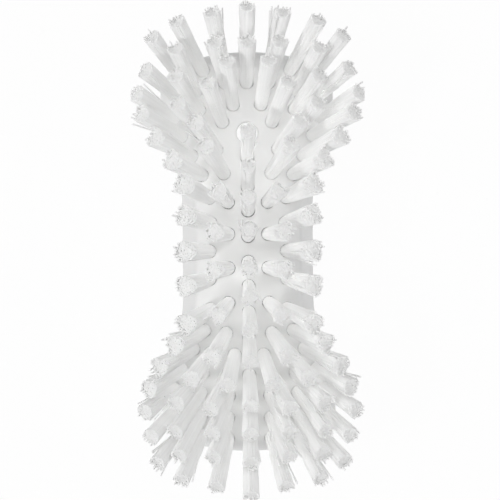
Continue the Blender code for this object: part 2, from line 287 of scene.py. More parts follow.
floor = make_floor()
floor.data.materials.append(floor_material())
floor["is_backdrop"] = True

# %% [markdown]
# ## The plan of the tufts
# A machine drills each hole at its own angle and drives a tuft into it. The holes
# lie in 17 rows across the block. A table of shares says where each tuft stands on
# the block and where its tip is: first the foot, as shares of the block's half width
# there and of its half length, then the tip, as shares of the half reach. Each tuft
# that is off the centre line has a twin on the other side.
#
# The table is the CAD source's. Only in rows 8, 10 and 15 it is moved a little, by
# 2 mm at most, so that those tufts stand as in the picture.

# %% Measures of the block and of the bristles
block_length = 0.166
end_width = 0.072
waist_width = 0.054
waist_straight_length = 0.036
corner_radius = 0.0155
end_arc_radius = 0.085
block_height = 0.026
grip_height = 0.011
deck_drop_lengthwise = 0.008
deck_drop_crosswise = 0.004
back_rounding = 0.012
back_flat_length = 0.1
back_lift = 0.003
hanging_hole_diameter = 0.0087
hanging_hole_place = 0.049
bristle_height = 0.042
reach_length = 0.2
reach_width = 0.094
tip_drop_lengthwise = 0.006
tip_drop_crosswise = 0.003

# %% The table of tufts, row by row from the end with the hanging hole
tuft_rows_shares = (
    ((0.0, 0.935, 0.0, 0.97), (0.337, 0.933, 0.296, 0.95), (0.575, 0.906, 0.59, 0.918),
     (0.769, 0.859, 0.802, 0.858)),
    ((0.0, 0.844, 0.0, 0.838), (0.26, 0.844, 0.272, 0.835), (0.588, 0.804, 0.608, 0.809),
     (0.781, 0.764, 0.855, 0.728)),
    ((0.161, 0.734, 0.175, 0.758), (0.556, 0.709, 0.601, 0.702), (0.87, 0.67, 0.935, 0.633)),
    ((0.297, 0.647, 0.338, 0.671), (0.585, 0.6, 0.589, 0.59), (0.816, 0.578, 0.888, 0.551)),
    ((0.0, 0.465, 0.0, 0.479), (0.402, 0.51, 0.435, 0.514), (0.745, 0.478, 0.772, 0.458)),
    ((0.0, 0.321, 0.0, 0.338), (0.341, 0.391, 0.353, 0.42), (0.657, 0.383, 0.63, 0.366)),
    ((0.0, 0.204, 0.0, 0.213), (0.305, 0.246, 0.247, 0.239), (0.584, 0.269, 0.536, 0.267)),
    ((0.0, 0.077, 0.0, 0.087), (0.306, 0.087, 0.285, 0.076), (0.574, 0.142, 0.528, 0.144)),
    ((0.0, -0.052, 0.0, -0.066), (0.594, 0.002, 0.53, 0.002)),
    ((0.0, -0.172, 0.0, -0.181), (0.306, -0.082, 0.285, -0.074),
     (0.597, -0.137, 0.532, -0.135)),
    ((0.0, -0.301, 0.0, -0.31), (0.312, -0.256, 0.264, -0.253), (0.581, -0.286, 0.529, -0.287)),
    ((0.0, -0.431, 0.0, -0.439), (0.323, -0.406, 0.312, -0.419),
     (0.634, -0.393, 0.629, -0.371)),
    ((0.188, -0.515, 0.19, -0.532), (0.502, -0.505, 0.495, -0.506),
     (0.738, -0.485, 0.758, -0.457)),
    ((0.0, -0.615, 0.0, -0.616), (0.257, -0.617, 0.331, -0.624), (0.565, -0.605, 0.62, -0.604),
     (0.836, -0.587, 0.849, -0.546)),
    ((0.0, -0.724, 0.0, -0.729), (0.243, -0.719, 0.318, -0.724), (0.567, -0.704, 0.631, -0.714),
     (0.88, -0.682, 0.892, -0.638)),
    ((0.0, -0.834, 0.0, -0.842), (0.251, -0.829, 0.315, -0.82), (0.562, -0.816, 0.604, -0.81),
     (0.862, -0.789, 0.843, -0.739)),
    ((0.0, -0.935, 0.0, -0.97), (0.312, -0.933, 0.292, -0.938), (0.638, -0.914, 0.584, -0.909),
     (0.773, -0.869, 0.786, -0.842)),
)

# %% [markdown]
# ## The shape of the block
# The block is one moulding. Seen from above it has a straight waist that widens to
# two ends, each with round corners and a shallow arc. From the side its top is
# gently crowned, its wall slopes outwards from a small round edge down to the
# widest line, and below that line it rounds under to a flat back that lifts a
# little at the ends.
#
# A box with many edge loops and a subdivision surface would give such a shape too.
# Here each part of it is a formula, worked out for a whole ring of points at once,
# so that the measures above hold exactly.

# %% Curves of the block
side_steps = 44
corner_steps = 20
end_steps = 22


def smooth(share):
    """Return 0 below 0 and 1 above 1, with a smooth S between: 3 s^2 - 2 s^3."""
    share = np.clip(share, 0.0, 1.0)
    return share * share * (3.0 - 2.0 * share)


def corner_centre():
    """Return the centre of the corner arc that touches both the side and the end arc."""
    across = end_width / 2 - corner_radius
    end_centre = block_length / 2 - end_arc_radius
    along = end_centre + math.sqrt((end_arc_radius - corner_radius) ** 2 - across**2)
    return across, along


def waist_share(along):
    """Return 1 at the straight of the waist, falling smoothly to 0 at the wide ends."""
    start = waist_straight_length / 2
    return 1.0 - smooth((np.abs(along) - start) / (corner_centre()[1] - start))


def back_height(along):
    """Return the back's height: 0 in the middle, rising with a square at the ends."""
    start = back_flat_length / 2
    way = np.clip((np.abs(along) - start) / (block_length / 2 - start), 0.0, 1.0)
    return back_lift * way * way


def tip_height(across, along):
    """Return the height of the crowned face that the tips lie in."""
    lengthwise = tip_drop_lengthwise * (along / (reach_length / 2)) ** 2
    crosswise = tip_drop_crosswise * (across / (reach_width / 2)) ** 2
    return block_height + bristle_height - lengthwise - crosswise


def block_outline():
    """Return the block's outline, anticlockwise from the middle of the lower end.

    A quarter of it is the side, whose half width follows the waist share, then the
    corner arc, then the end arc. The other three quarters are its mirror images.
    """
    across, along = corner_centre()
    end_centre = block_length / 2 - end_arc_radius
    join = math.atan2(along - end_centre, across)
    side = np.linspace(0.0, along, side_steps, endpoint=False)
    corner = np.linspace(0.0, join, corner_steps, endpoint=False)
    end = np.linspace(join, math.pi / 2, end_steps + 1)
    quarter_x = np.concatenate([
        end_width / 2 - (end_width - waist_width) / 2 * waist_share(side),
        across + corner_radius * np.cos(corner),
        end_arc_radius * np.cos(end),
    ])
    quarter_y = np.concatenate([
        side,
        along + corner_radius * np.sin(corner),
        end_centre + end_arc_radius * np.sin(end),
    ])
    quarter_x[-1] = 0.0
    half = np.column_stack([quarter_x, quarter_y])
    right = np.concatenate([half[:0:-1] * (1.0, -1.0), half])
    return np.concatenate([right, right[-2:0:-1] * (-1.0, 1.0)])


def inset(outline, distance):
    """Return a closed outline moved inwards along its own normals."""
    way = np.roll(outline, -1, axis=0) - np.roll(outline, 1, axis=0)
    outward = np.column_stack([way[:, 1], -way[:, 0]])
    outward /= np.linalg.norm(outward, axis=1)[:, None]
    return outline - outward * np.reshape(distance, (-1, 1))


outline = block_outline()
right_side = outline[: len(outline) // 2 + 1]
print("outline points:", len(outline))

# %% The deck
roll_width = 0.006
roll_drop = 0.004
points_at_once = 1000


def edge_distance(points, starts, ends):
    """Return each point's distance from the nearest of some straight edges."""
    distance = np.zeros(len(points))
    way = ends - starts
    for first in range(0, len(points), points_at_once):
        some = slice(first, first + points_at_once)
        here = points[some, None]
        share = ((here - starts) * way).sum(axis=2) / (way * way).sum(axis=1)
        nearest = starts + way * np.clip(share, 0.0, 1.0)[..., None]
        distance[some] = np.linalg.norm(here - nearest, axis=2).min(axis=1)
    return distance


def deck_height(across, along):
    """Return the deck's height: a crown that drops with the square of both places.

    Near the outline of the wide ends it also rolls off on a quarter ellipse.
    """
    lengthwise = deck_drop_lengthwise * (along / (block_length / 2)) ** 2
    crosswise = deck_drop_crosswise * (across / (end_width / 2)) ** 2
    places = np.column_stack([np.ravel(across), np.ravel(along)])
    distance = edge_distance(places, outline, np.roll(outline, -1, axis=0))
    inner = np.clip(1.0 - distance.reshape(np.shape(across)) / roll_width, 0.0, 1.0)
    rolled = roll_drop * (1.0 - np.sqrt(1.0 - inner**2)) * (1.0 - waist_share(along))
    return block_height - lengthwise - crosswise - rolled


# %% The rings of the wall
end_edge_round = 0.00045
waist_edge_round = 0.0017
end_wall_width = 0.0003
waist_wall_width = 0.0052
edge_steps = 6
slope_steps = 5
under_steps = 12


def wall_rings():
    """Return the rings from the deck's edge down to the edge of the back.

    The wall is widest at the waist and narrows with the cube of the waist share.

    The edge is a parabola: from a point on the deck, past the corner where deck
    and wall would meet, to a point the same way down the wall. The wall is straight
    from there to the widest line, and a quarter ellipse rounds it under.
    """
    waist = waist_share(outline[:, 1]) ** 3
    wall = end_wall_width + (waist_wall_width - end_wall_width) * waist
    edge_round = end_edge_round + (waist_edge_round - end_edge_round) * waist
    corner = inset(outline, wall)
    corner_height = deck_height(*corner.T)
    start = inset(outline, wall + edge_round)
    start = np.column_stack([start, deck_height(*start.T)])
    corner = np.column_stack([corner, corner_height])
    widest = np.column_stack([outline, np.full(len(outline), grip_height)])
    down = widest - corner
    down *= (edge_round / np.linalg.norm(down, axis=1))[:, None]
    end = corner + down
    rings = []
    for share in np.linspace(0.0, 1.0, edge_steps + 1):
        rest = 1.0 - share
        rings.append(rest**2 * start + 2.0 * share * rest * corner + share**2 * end)
    for share in np.linspace(0.0, 1.0, slope_steps + 1)[1:]:
        rings.append(end + (widest - end) * share)
    floor_height = back_height(inset(outline, back_rounding)[:, 1])
    for turn in np.linspace(0.0, math.pi / 2, under_steps + 1)[1:]:
        ring = inset(outline, back_rounding * (1.0 - math.cos(turn)))
        height = floor_height + (grip_height - floor_height) * (1.0 - math.sin(turn))
        rings.append(np.column_stack([ring, height]))
    return np.array(rings)


rings = wall_rings()
print("wall rings:", rings.shape[0], "of", rings.shape[1], "points")

# %% [markdown]
# ## The tuft holes
# Each tuft stands in a round hole that is drilled in the direction in which the
# tuft leans, a little wider than the tuft. From above, the thin dark line round
# the back of each foot is that gap. The mouth has a slightly broken edge.
#
# The holes could be cut with a Boolean. A hole's mouth is worked out here instead:
# a ring of points on a cylinder about the tuft's axis, slid along that axis until
# it meets the crowned deck. That leaves clean rings that the deck can be joined to.

# %% Where the tufts stand and lean
tuft_hole_radius = 0.00285
tuft_hole_depth = 0.0085


def half_width_at(along):
    """Return the block's half width at a place along it."""
    return np.interp(along, right_side[:, 1], right_side[:, 0])


def list_tufts():
    """Return the CAD node, foot and tip of every tuft, the twins on both sides."""
    names, shares = [], []
    for number, row in enumerate(tuft_rows_shares, start=1):
        for tuft in row:
            sides = (("middle", 1.0),) if tuft[0] == 0.0 else (("left", -1.0), ("right", 1.0))
            for side, sign in sides:
                names.append(f"{number:02d}_{side}")
                shares.append((tuft[0] * sign, tuft[1], tuft[2] * sign, tuft[3]))
    foot_across, foot_along, tip_across, tip_along = np.array(shares).T
    along = foot_along * block_length / 2
    across = foot_across * half_width_at(along)
    feet = np.column_stack([across, along, deck_height(across, along)])
    across = tip_across * reach_width / 2
    along = tip_along * reach_length / 2
    tips = np.column_stack([across, along, tip_height(across, along)])
    return names, feet, tips


def unit(vectors):
    """Return vectors shortened to length 1."""
    return vectors / np.linalg.norm(vectors, axis=-1, keepdims=True)


group_names, feet, tips = list_tufts()
axes = unit(tips - feet)
first_sides = unit(np.cross((0.0, 1.0, 0.0), axes))
second_sides = np.cross(axes, first_sides)
most = float(np.degrees(np.arccos(axes[:, 2].min())))
print("tufts:", len(feet), "leaning up to", round(most, 1), "degrees")

# %% The mouths of the holes
mouth_points = 28
mouth_break = 0.00022
# How much wider and how far sunk each ring of the mouth is, as shares of the break.
mouth_levels = ((1.0, 0.0), (0.35, 0.12), (0.0, 0.6))
pit_narrowing = 0.4
pit_ring_drop = 0.0008
pit_point_drop = 0.001
slide_steps = 9


def on_deck(points, ways):
    """Slide points along their ways until they lie on the deck.

    Each step moves a point by its height error over the slope of its way.
    """
    for _ in range(slide_steps):
        error = deck_height(points[..., 0], points[..., 1]) - points[..., 2]
        points = points + ways * (error / ways[..., 2])[..., None]
    return points


def circle(count):
    """Return the cosines and sines of a full turn in equal steps."""
    turn = np.linspace(0.0, 2.0 * math.pi, count, endpoint=False)
    return np.cos(turn), np.sin(turn)


def hole_rings():
    """Return five rings for each tuft hole, from its mouth on the deck to its bottom.

    The mouth's broken edge is three rings that narrow to the bore. The bottom is the
    blunt cone that a drill leaves.
    """
    cosine, sine = circle(mouth_points)
    around = first_sides[:, None] * cosine[:, None] + second_sides[:, None] * sine[:, None]
    ways = np.broadcast_to(axes[:, None], around.shape)
    rings = []
    for wider, sunk in mouth_levels:
        radius = tuft_hole_radius + mouth_break * wider
        ring = on_deck(feet[:, None] + around * radius, ways)
        rings.append(ring - ways * sunk * mouth_break)
    rings.append(feet[:, None] + around * tuft_hole_radius - ways * tuft_hole_depth)
    narrow = around * tuft_hole_radius * pit_narrowing
    rings.append(feet[:, None] + narrow - ways * (tuft_hole_depth + pit_ring_drop))
    return np.stack(rings, axis=1)


tuft_holes = hole_rings()
bottoms = feet - axes * (tuft_hole_depth + pit_point_drop)
print("hole rings:", tuft_holes.shape)

# %% [markdown]
# ## Deck and back
# The deck has 99 holes in it. Its mesh is a Delaunay triangulation: a net of points
# in even steps, tied to the deck's edge and to every mouth, with the triangles that
# fall in a hole or outside the edge taken out. Each point's height then comes from
# the deck's formula, so the surface stays smooth however the triangles lie.

# %% Fill the plan between an edge and its holes
net_step = 0.0017
back_net_step = net_step * 1.6
net_row_share = 0.866
net_margin = 0.0007
merge_distance = 1e-9


def inside_edges(points, starts, ends):
    """Return which points lie inside: a ray across them meets an odd number of edges."""
    inside = np.zeros(len(points), bool)
    for first in range(0, len(points), points_at_once):
        some = slice(first, first + points_at_once)
        x = points[some, 0, None]
        y = points[some, 1, None]
        spans = (starts[:, 1] > y) != (ends[:, 1] > y)
        rise = np.where(ends[:, 1] == starts[:, 1], 1.0, ends[:, 1] - starts[:, 1])
        meets = starts[:, 0] + (y - starts[:, 1]) / rise * (ends[:, 0] - starts[:, 0])
        inside[some] = (spans & (meets > x)).sum(axis=1) % 2 == 1
    return inside


def fill_plan(loops, step):
    """Return net points and triangles between the first loop and the others.

    The triangles count the loops' points first, in order, and then the net's.
    """
    starts = np.concatenate(loops)
    ends = np.concatenate([np.roll(loop, -1, axis=0) for loop in loops])
    rows = np.arange(-block_length / 2, block_length / 2, step * net_row_share)
    columns = np.arange(-end_width / 2, end_width / 2, step)
    along, across = np.meshgrid(rows, columns, indexing="ij")
    across = across + (np.arange(len(rows)) % 2)[:, None] * step / 2
    net = np.column_stack([across.ravel(), along.ravel()])
    net = net[inside_edges(net, starts, ends)]
    net = net[edge_distance(net, starts, ends) > net_margin]
    edges, count = [], 0
    for loop in loops:
        index = np.arange(count, count + len(loop))
        edges.append(np.column_stack([index, np.roll(index, -1)]))
        count += len(loop)
    points = np.concatenate([starts, net])
    corners = [Vector(point) for point in points.tolist()]
    tied = np.concatenate(edges).tolist()
    found = delaunay_2d_cdt(corners, tied, [], 0, merge_distance, True)
    triangles = np.array(found[2])
    if len(found[0]) != len(points):
        raise ValueError("the loops cross each other")
    centres = points[triangles].mean(axis=1)
    return net, triangles[inside_edges(centres, starts, ends)]


# %% The hanging hole
hanging_hole_points = 64
hanging_hole_break = 0.0006
hanging_hole_levels = ((1.0, 0.0), (0.3, 0.3), (0.0, 1.0))


def hanging_hole_rings():
    """Return rings from the mouth on the deck to the mouth on the back.

    Both mouths have a broken edge: three rings that widen from the bore.
    """
    cosine, sine = circle(hanging_hole_points)
    top, bottom = [], []
    for wider, sunk in hanging_hole_levels:
        radius = hanging_hole_diameter / 2 + hanging_hole_break * wider
        x, y = cosine * radius, hanging_hole_place + sine * radius
        top.append(np.column_stack([x, y, deck_height(x, y) - hanging_hole_break * sunk]))
        bottom.append(np.column_stack([x, y, back_height(y) + hanging_hole_break * sunk]))
    return np.array(top + bottom[::-1])


hanging_hole = hanging_hole_rings()

# %% Put the block together


def ring_quads(first, second):
    """Return quads between two rings of point numbers, wound from first to second."""
    corners = [first, np.roll(first, -1, -1), np.roll(second, -1, -1), second]
    return np.stack(corners, axis=-1).reshape(-1, 4)


def make_object(name, points, *face_sets, rounded=True):
    """Return an object at the origin from points and arrays of faces."""
    faces = [np.asarray(face_set) for face_set in face_sets]
    corners = np.concatenate([face_set.ravel() for face_set in faces]).astype(np.int32)
    sizes = np.concatenate([np.full(len(face_set), face_set.shape[1]) for face_set in faces])
    starts = np.concatenate([[0], np.cumsum(sizes)[:-1]]).astype(np.int32)
    mesh = bpy.data.meshes.new(name)
    mesh.vertices.add(len(points))
    mesh.vertices.foreach_set("co", np.asarray(points, np.float32).ravel())
    mesh.loops.add(len(corners))
    mesh.loops.foreach_set("vertex_index", corners)
    mesh.polygons.add(len(starts))
    mesh.polygons.foreach_set("loop_start", starts)
    mesh.update(calc_edges=True)
    mesh.validate()
    if rounded:
        mesh.shade_smooth()
    else:
        mesh.shade_flat()
    piece = bpy.data.objects.new(name, mesh)
    scene.collection.objects.link(piece)
    return piece


def make_block():
    """Return the block: deck, wall, back, tuft holes and hanging hole in one skin."""
    wall_count, round_count = rings.shape[:2]
    tuft_count, level_count = tuft_holes.shape[:2]
    sheets = [sheet.reshape(-1, 3) for sheet in (rings, tuft_holes, bottoms, hanging_hole)]
    sizes = np.cumsum([0] + [len(sheet) for sheet in sheets])
    wall = np.arange(sizes[0], sizes[1]).reshape(wall_count, round_count)
    holes = np.arange(sizes[1], sizes[2]).reshape(tuft_count, level_count, mouth_points)
    pits = np.arange(sizes[2], sizes[3])
    bore = np.arange(sizes[3], sizes[4]).reshape(-1, hanging_hole_points)

    loops = [rings[0, :, :2], *tuft_holes[:, 0, :, :2], hanging_hole[0, :, :2]]
    deck_net, deck = fill_plan(loops, net_step)
    deck_points = np.column_stack([deck_net, deck_height(*deck_net.T)])
    first = sizes[4]
    net = first + np.arange(len(deck_net))
    deck = np.concatenate([wall[0], holes[:, 0].ravel(), bore[0], net])[deck]

    loops = [rings[-1, :, :2], hanging_hole[-1, :, :2]]
    back_net, back = fill_plan(loops, back_net_step)
    back_points = np.column_stack([back_net, back_height(back_net[:, 1])])
    net = first + len(deck_net) + np.arange(len(back_net))
    back = np.concatenate([wall[-1], bore[-1], net])[back][:, ::-1]

    quads = [ring_quads(wall[1:], wall[:-1])]
    quads.append(ring_quads(holes[:, :-1], holes[:, 1:]))
    quads.append(ring_quads(bore[:-1], bore[1:]))
    last = holes[:, -1]
    point = np.broadcast_to(pits[:, None], last.shape)
    pit_faces = np.stack([last, np.roll(last, -1, -1), point], axis=-1)
    points = np.concatenate([*sheets, deck_points, back_points])
    triangles = np.concatenate([deck, back, pit_faces.reshape(-1, 3)])
    return make_object("moulded_block", points, np.concatenate(quads), triangles)


block = make_block()
print("block faces:", len(block.data.polygons))

# %% [markdown]
# ## The tufts
# A tuft is a bundle of stiff filaments, folded in the middle and driven into its
# hole over a small anchor. It leaves the hole as a tight round bundle and opens
# towards the tip, and its ends are ragged.
#
# Hair particles would draw such strands, but a reusable part needs real surfaces.
# So each filament is a thin tube with five sides, carried along its own line. The
# lines start in rings round the tuft's axis, which packs them evenly, and chance
# moves each one a little. All filaments of all tufts are one array.
#
# A tuft is trimmed after it is driven in, all of them to one crowned face. So the
# more a tuft leans, the more slanted its end is, and the more its lower rim frays.

# %% A bundle and how far it opens
filament_rings = (1, 6, 12, 19, 25, 31, 38, 46)
tip_radius = 0.0026
end_opening = 0.0003
lean_opening = 0.005
steepest = math.sin(math.radians(30.0))
chance_seed = 11
chance = np.random.default_rng(chance_seed)


def packed_disc():
    """Return places in a disc of radius 1: rings of points at equal steps outwards."""
    radii = np.repeat(np.arange(len(filament_rings)), filament_rings)
    turns = np.concatenate([np.arange(count) / count for count in filament_rings])
    return radii / (len(filament_rings) - 1), turns * 2.0 * math.pi


def tip_radii():
    """Return each bundle's radius at its tip.

    It grows with the square of the distance from the waist, and at the waist with
    how far the tuft leans sideways.
    """
    opening = end_opening * (1.0 - waist_share(feet[:, 1])) ** 2
    leaning = lean_opening * waist_share(feet[:, 1]) * np.abs(axes[:, 0])
    return tip_radius + opening + leaning


def leans():
    """Return each tuft's lean and the way across the tuft that points down.

    The lean is the sine of the angle from upright, as a share of a steep tuft's. The
    way is the axis less an upright line that is as long as 1 over the axis's rise.
    """
    lean = np.sqrt(1.0 - axes[:, 2] ** 2) / steepest
    lowest = unit(axes - np.array((0.0, 0.0, 1.0)) / axes[:, 2:])
    return lean[:, None], lowest


# %% The cut and frayed end of a bundle
length_chance = 0.0003
tooth_chance = 0.0019
tooth_start = 0.0008
trim_slope = 0.0034
least_slope = 0.4
corner_reach = 0.0009
corner_push = 0.3
waist_corner_push = 0.8
corner_limit = 0.82
fray = 0.0013
rim_power = 6
rim_least = 0.2
rim_start = 0.3
upright_lean = 0.25
upright_rim_power = 3


def rim_shares(radius, fall, lean):
    """Return how ragged each filament's place is, and how upright each tuft stands.

    A place is ragged with the distance from the middle to the power 6, and less so
    on the upper side. In an upright tuft it is the distance cubed, on every side.
    """
    low_side = rim_least + (1.0 - rim_least) * np.clip(fall + rim_start, 0.0, 1.0)
    rim = radius**rim_power * low_side
    upright = np.clip(1.0 - lean / upright_lean, 0.0, 1.0)
    return rim + upright * (radius**upright_rim_power - rim), upright


def cut_lengths(radius, fall, lean, rim):
    """Return how far each filament ends past the tip of its tuft's axis.

    It is the sum of four things: a little chance, teeth that stand out of the rim by
    chance, a slanted cut that is shorter towards the lower side, and a share of the
    place sideways squared less the place down squared, which makes the cut squarer.
    """
    trim = chance.normal(0.0, length_chance, fall.shape)
    teeth = np.abs(chance.normal(0.0, tooth_chance, fall.shape)) - tooth_start
    trim = trim + teeth * rim * lean
    trim = trim + trim_slope * np.sqrt(lean) * (np.clip(lean, least_slope, 1.0) - fall)
    level = radius**2 - fall**2 - np.clip(fall, 0.0, 1.0) ** 2
    return trim + corner_reach * lean * level


def pushes(across, beside, fall, lean):
    """Return how far each filament's end is pushed towards the lower side.

    The lower side frays by chance, with the place down squared. A round bundle's end
    is also squared off: pushed by 1 less the root of 1 less the place sideways
    squared, as a share of the bundle's radius that is larger at the waist.
    """
    low_side = np.clip(fall, 0.0, 1.0) ** 2
    frayed = np.abs(chance.normal(0.0, fray, fall.shape)) * low_side * lean
    sideways = np.clip(across**2 + beside**2 - fall**2, 0.0, corner_limit)
    square = corner_push + (waist_corner_push - corner_push) * waist_share(feet[:, 1])
    return frayed + (square * tip_radii())[:, None] * (1.0 - np.sqrt(1.0 - sideways))


# %% Lines of the filaments
dark_way, mouth_way, cut_way = -0.06, -0.025, 0.985
way_shares = np.array([-0.16, dark_way, mouth_way, 0.25, 0.55, 0.8, cut_way, 1.0])
foot_radius = 0.00238
filament_radius = 0.00021
place_chance = 0.018
wander = 0.02
splay_chance = 0.12
most_splay = 2.0
flare = 0.0024
top_limit = 0.0694
top_chance = 0.0008
opening_power = 0.6
wander_power = 1.5
splay_power = 3
push_power = 2.5
flare_power = 5


def filament_lines():
    """Return every filament's line as points: tuft, filament, point along it, XYZ.

    A point lies on the tuft's axis, plus the filament's place in the disc times the
    bundle's radius there, plus a bow. The radius opens with the way to the power
    0.6: quickly at first and then slowly. Chance splays the ragged places further,
    with the way cubed, most of all in upright tufts. The bow is the push with the way
    to the power 2.5, plus a flare that holds the tuft up between its foot and its
    tip. No end stands above the top limit, less a little chance.
    """
    radius, turn = packed_disc()
    count = len(feet), len(radius)
    turn = turn + chance.uniform(0.0, 2.0 * math.pi, (count[0], 1))
    across = radius * np.cos(turn) + chance.normal(0.0, place_chance, count)
    beside = radius * np.sin(turn) + chance.normal(0.0, place_chance, count)
    wander_across = chance.normal(0.0, wander, count)
    wander_beside = chance.normal(0.0, wander, count)
    lean, lowest = leans()
    fall = across * (lowest * first_sides).sum(axis=1)[:, None]
    fall = fall + beside * (lowest * second_sides).sum(axis=1)[:, None]
    rim, upright = rim_shares(radius, fall, lean)
    trim = cut_lengths(radius, fall, lean, rim)
    splay = np.abs(chance.normal(0.0, splay_chance, count)) * rim
    splay = splay * (most_splay - np.minimum(lean, 1.0)) * (1.0 + upright)
    push = pushes(across, beside, fall, lean)

    above = np.clip(way_shares, 0.0, 1.0)
    opening = above**opening_power
    wandering = above**wander_power
    bundle = foot_radius + (tip_radii() - foot_radius)[:, None, None] * opening
    wider = 1.0 + splay[..., None] * above**splay_power
    side_one = (across[..., None] + wander_across[..., None] * wandering) * bundle * wider
    side_two = (beside[..., None] + wander_beside[..., None] * wandering) * bundle * wider
    rise = first_sides[:, 2, None] * side_one[..., -1]
    rise = rise + second_sides[:, 2, None] * side_two[..., -1]
    length = np.linalg.norm(tips - feet, axis=1)[:, None]
    highest = (top_limit - feet[:, 2, None] - rise) / axes[:, 2, None] - length
    trim = np.minimum(trim, highest - np.abs(chance.normal(0.0, top_chance, count)))
    reach = length[..., None] * way_shares + trim[..., None] * above
    lines = feet[:, None, None] + axes[:, None, None] * reach[..., None]
    lines = lines + first_sides[:, None, None] * side_one[..., None]
    lines = lines + second_sides[:, None, None] * side_two[..., None]
    flares = flare * lean[..., None] * (above**flare_power - above)
    bow = push[..., None] * above**push_power + flares
    return lines + lowest[:, None, None] * bow[..., None]


lines = filament_lines()
print("filaments:", lines.shape[0] * lines.shape[1])

# %% Stray filaments
stray_share = 0.012
stray_reach = 0.0032
stray_least = 0.35
stray_from = 0.5
least_length = 1e-6
side_room = (0.012, 0.012, 0.024)


def add_strays(lines):
    """Bend a few filaments of the outer half outwards, with the way squared."""
    count = lines.shape[:2]
    radius, turn = packed_disc()
    picked = (chance.random(count) < stray_share) & (radius > stray_from)
    amount = picked * chance.uniform(stray_least, 1.0, count) * stray_reach
    middle = lines.mean(axis=1, keepdims=True)
    outward = lines[:, :, -1] - middle[:, :, -1]
    outward /= np.maximum(np.linalg.norm(outward, axis=-1, keepdims=True), least_length)
    above = np.clip(way_shares, 0.0, 1.0) ** 2
    return lines + (outward * amount[..., None])[:, :, None] * above[:, None]


# How far the lines may leave the CAD model's box, so that the tubes stay within 3%.
low, high = np.array(cad_box)
room = (high - low) * side_room - filament_radius
lines = np.clip(add_strays(lines), low - room, high + room)

# %% Tubes along the lines
tube_sides = 5
filament_tip_radius = 0.00039
rim_tip_radius = 0.00036
rim_from = 0.6
usual_tip_radius = 0.0029
end_taper = 0.88
slanted = (0.31, 0.95, 0.05)


def tubes(lines):
    """Return points and faces of thin tubes along lines, closed at both ends.

    Each ring stands square to its line. A tube grows towards its tip as its bundle
    opens, so that the bundle stays closed, and a little less so at the rim. Its last
    ring is narrower again.
    """
    tufts, filaments, stations = lines.shape[:3]
    ways = unit(np.gradient(lines, axis=2))
    beside = unit(np.cross(ways, slanted))
    upward = np.cross(ways, beside)
    cosine, sine = circle(tube_sides)
    above = np.clip(way_shares, 0.0, 1.0)
    ring = packed_disc()[0][:, None]
    rim = smooth((ring - rim_from) / (1.0 - rim_from))
    tip = filament_tip_radius + (rim_tip_radius - filament_tip_radius) * rim
    tip = tip * (tip_radii() / usual_tip_radius)[:, None, None]
    radius = filament_radius + (tip - filament_radius) * above
    radius[..., -1] *= end_taper
    circles = beside[..., None, :] * cosine[:, None] + upward[..., None, :] * sine[:, None]
    points = lines[..., None, :] + circles * radius[..., None, None]
    numbers = np.arange(tufts * filaments * stations * tube_sides)
    numbers = numbers.reshape(tufts, filaments, stations, tube_sides)
    walls = ring_quads(numbers[:, :, :-1], numbers[:, :, 1:]).reshape(tufts, -1, 4)
    caps = np.concatenate([numbers[:, :, 0, ::-1], numbers[:, :, -1]], axis=1)
    return points, walls, caps


tube_points, tube_walls, tube_caps = tubes(lines)
print("tube points:", tube_points.shape)

# %% Make one piece for each group of tufts


def make_bristles():
    """Return the bristle pieces by group: the tubes of its tufts in one mesh.

    Two attributes go with the points: the strand's own shade, and the share of the
    way from the foot to the tip.
    """
    pieces = {}
    shades = chance.normal(0.0, 1.0, lines.shape[:2])
    per_tuft = tube_points[0].size // 3
    for group in sorted(set(group_names)):
        picked = [number for number, name in enumerate(group_names) if name == group]
        points = tube_points[picked].reshape(-1, 3)
        shift = (np.arange(len(picked)) - np.array(picked))[:, None, None] * per_tuft
        walls = (tube_walls[picked] + shift).reshape(-1, 4)
        caps = (tube_caps[picked] + shift).reshape(-1, tube_sides)
        piece = make_object(f"bristles_{group}", points, walls, caps, rounded=False)
        shape = tube_points[picked].shape[:-1]
        values = {"shade": shades[picked][:, :, None, None], "way": way_shares[:, None]}
        for label, numbers in values.items():
            numbers = np.broadcast_to(numbers, shape).astype(np.float32)
            attribute = piece.data.attributes.new(label, "FLOAT", "POINT")
            attribute.data.foreach_set("value", numbers.ravel())
        pieces[group] = piece
    return pieces


bristles = make_bristles()
print("bristle pieces:", len(bristles))

# %% [markdown]
# ## The anchors
# At the bottom of every hole a short flat piece of wire lies across the fold of the
# tuft and bites into the plastic on both sides. It can't be seen, but it is what
# holds the tuft, so it is here too: one small bar with narrow ends for each hole.

# %% Make the anchors
anchor_length = 0.0072
anchor_width = 0.0005
anchor_height = 0.0014
anchor_points = 8
anchor_squareness = 0.6
anchor_stations = np.array([-1.0, -0.94, 0.94, 1.0])
anchor_sizes = np.array([0.55, 1.0, 1.0, 0.55])


def make_anchors():
    """Return all anchors as one mesh.

    A bar is a ring of eight points, a rectangle with cut corners, carried across the
    hole in four steps, and smaller at both ends.
    """
    cosine, sine = circle(anchor_points)
    across = np.sign(cosine) * np.abs(cosine) ** anchor_squareness * anchor_width / 2
    upward = np.sign(sine) * np.abs(sine) ** anchor_squareness * anchor_height / 2
    stations = anchor_stations * anchor_length / 2
    centres = feet - axes * (tuft_hole_depth - anchor_height / 2)
    points = centres[:, None, None] + first_sides[:, None, None] * stations[:, None, None]
    points = points + second_sides[:, None, None] * (across * anchor_sizes[:, None])[..., None]
    points = points + axes[:, None, None] * (upward * anchor_sizes[:, None])[..., None]
    numbers = np.arange(points.size // 3).reshape(points.shape[:3])
    walls = ring_quads(numbers[:, :-1], numbers[:, 1:])
    caps = np.concatenate([numbers[:, 0, ::-1], numbers[:, -1]])
    return make_object("anchor_staples", points.reshape(-1, 3), walls, caps)


anchors = make_anchors()

